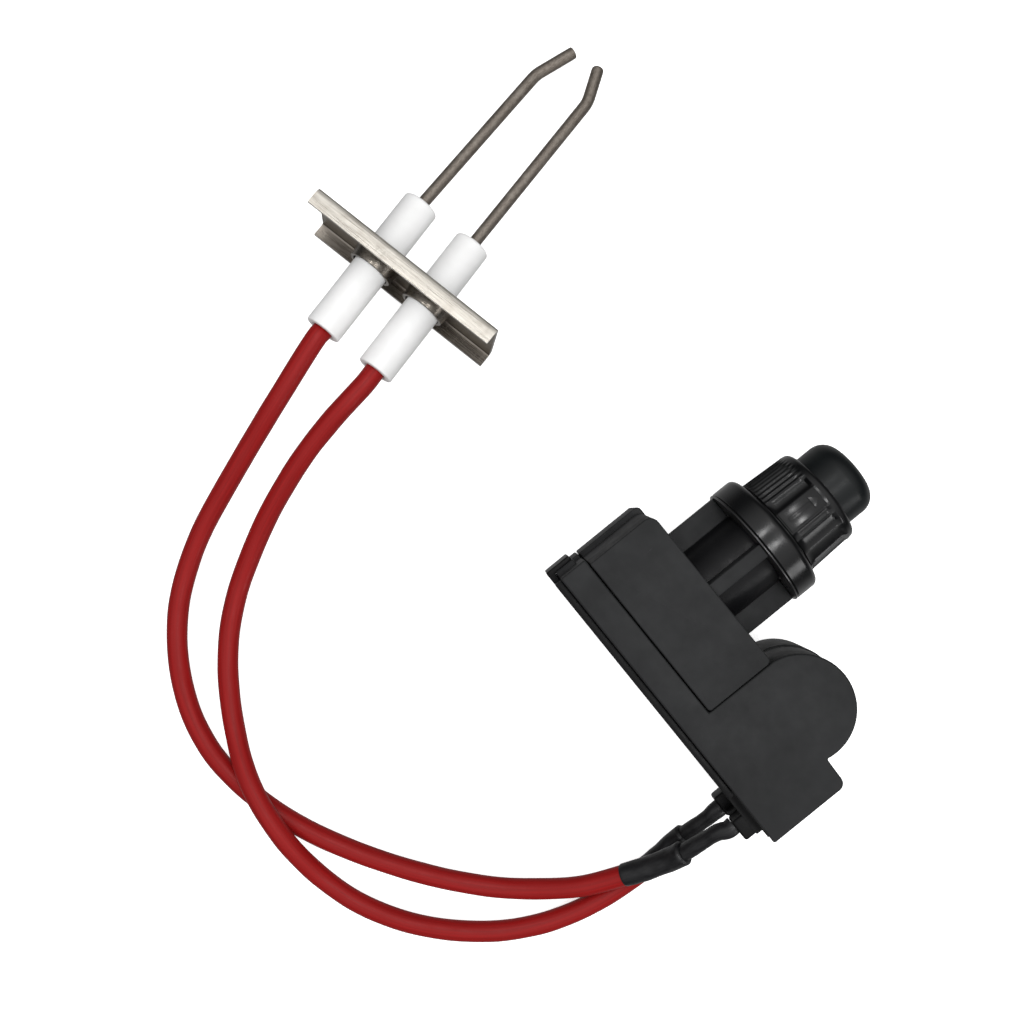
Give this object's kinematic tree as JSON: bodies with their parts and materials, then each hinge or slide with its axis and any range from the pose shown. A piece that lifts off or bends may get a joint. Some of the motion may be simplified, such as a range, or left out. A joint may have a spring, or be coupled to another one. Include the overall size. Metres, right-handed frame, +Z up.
{
  "type": "ignition electrode",
  "caption": "Battery pulse igniter with push button and screw cap, wired by silicone leads to paired spark electrodes in ceramic insulators on a folded bracket.",
  "frame": {"origin": "on the igniter case's resting face, straight below the neck's axis and midway across the case", "axes": "+Y along the neck towards the push button, +X along the case towards the round coil housing, +Z up from the surface the kit lies on"},
  "size_m": [0.1383, 0.1406, 0.025],
  "materials": {
    "case_plastic": "matt moulded black",
    "cover_plastic": "matt moulded black",
    "contact_metal": "bright",
    "board": "satin laminate",
    "ferrite": "matt",
    "nylon": "satin",
    "copper_wire": "enamelled",
    "component_body": "satin",
    "cell_jacket": "satin",
    "spring_steel": "bright",
    "washer_rubber": "satin",
    "cap_plastic": "glossy",
    "button_plastic": "satin",
    "red_silicone": "satin",
    "heat_shrink": "satin",
    "stainless_sheet": "rolled, scratched",
    "ceramic": "satin glazed ceramic",
    "electrode_rod": "heat-darkened",
    "crimp_metal": "bright"
  },
  "bodies": {
    "igniter": {"front_shell": "case_plastic", "rear_shell": "case_plastic", "battery_body": "case_plastic", "base_cover": "cover_plastic", "lead_post_a": "cover_plastic", "lead_post_b": "cover_plastic", "output_pins": "contact_metal", "circuit_board": "board", "ignition_coil_core": "ferrite", "ignition_coil_bobbin": "nylon", "ignition_coil_winding": "copper_wire", "coil_lid": "nylon", "inverter_core": "ferrite", "inverter_winding": "copper_wire", "storage_capacitor": "component_body", "thyristor": "component_body", "small_components": "component_body", "battery_cell": "cell_jacket", "battery_spring": "spring_steel", "negative_contact": "spring_steel", "positive_strip": "contact_metal", "lead_a": "red_silicone", "lead_b": "red_silicone", "splice_sleeve_a": "heat_shrink", "splice_sleeve_b": "heat_shrink", "tail_sleeve_a": "heat_shrink", "tail_sleeve_b": "heat_shrink", "bracket": "stainless_sheet", "insulator_a": "ceramic", "insulator_b": "ceramic", "electrode_a": "electrode_rod", "electrode_b": "electrode_rod", "crimp_a": "crimp_metal", "crimp_b": "crimp_metal"},
    "washer": {"seal_washer": "washer_rubber"},
    "cap": {"cap_nut": "cap_plastic", "button_spring": "spring_steel"},
    "button": {"push_button": "button_plastic", "contact_disc": "contact_metal"}
  },
  "joints": [
    {"name": "cap_lift", "type": "slide", "parent": "igniter", "child": "washer", "axis": [0, 1, 0], "range_m": [0, 0.00661]},
    {"name": "cap_turn", "type": "hinge", "parent": "washer", "child": "cap", "pos_m": [0, 0.0214, 0.0125], "axis": [0, 1, 0], "range_deg": [0, 1080]},
    {"name": "button_press", "type": "slide", "parent": "cap", "child": "button", "axis": [0, -1, 0], "range_m": [0, 0.002], "stiffness_N_per_m": 1200, "springref_m": -0.0015, "deforming": ["button_spring"]}
  ],
  "couplings": [
    {"joint": "cap_lift", "follows": "cap_turn", "m_per_rad": 0.00035014}
  ]
}
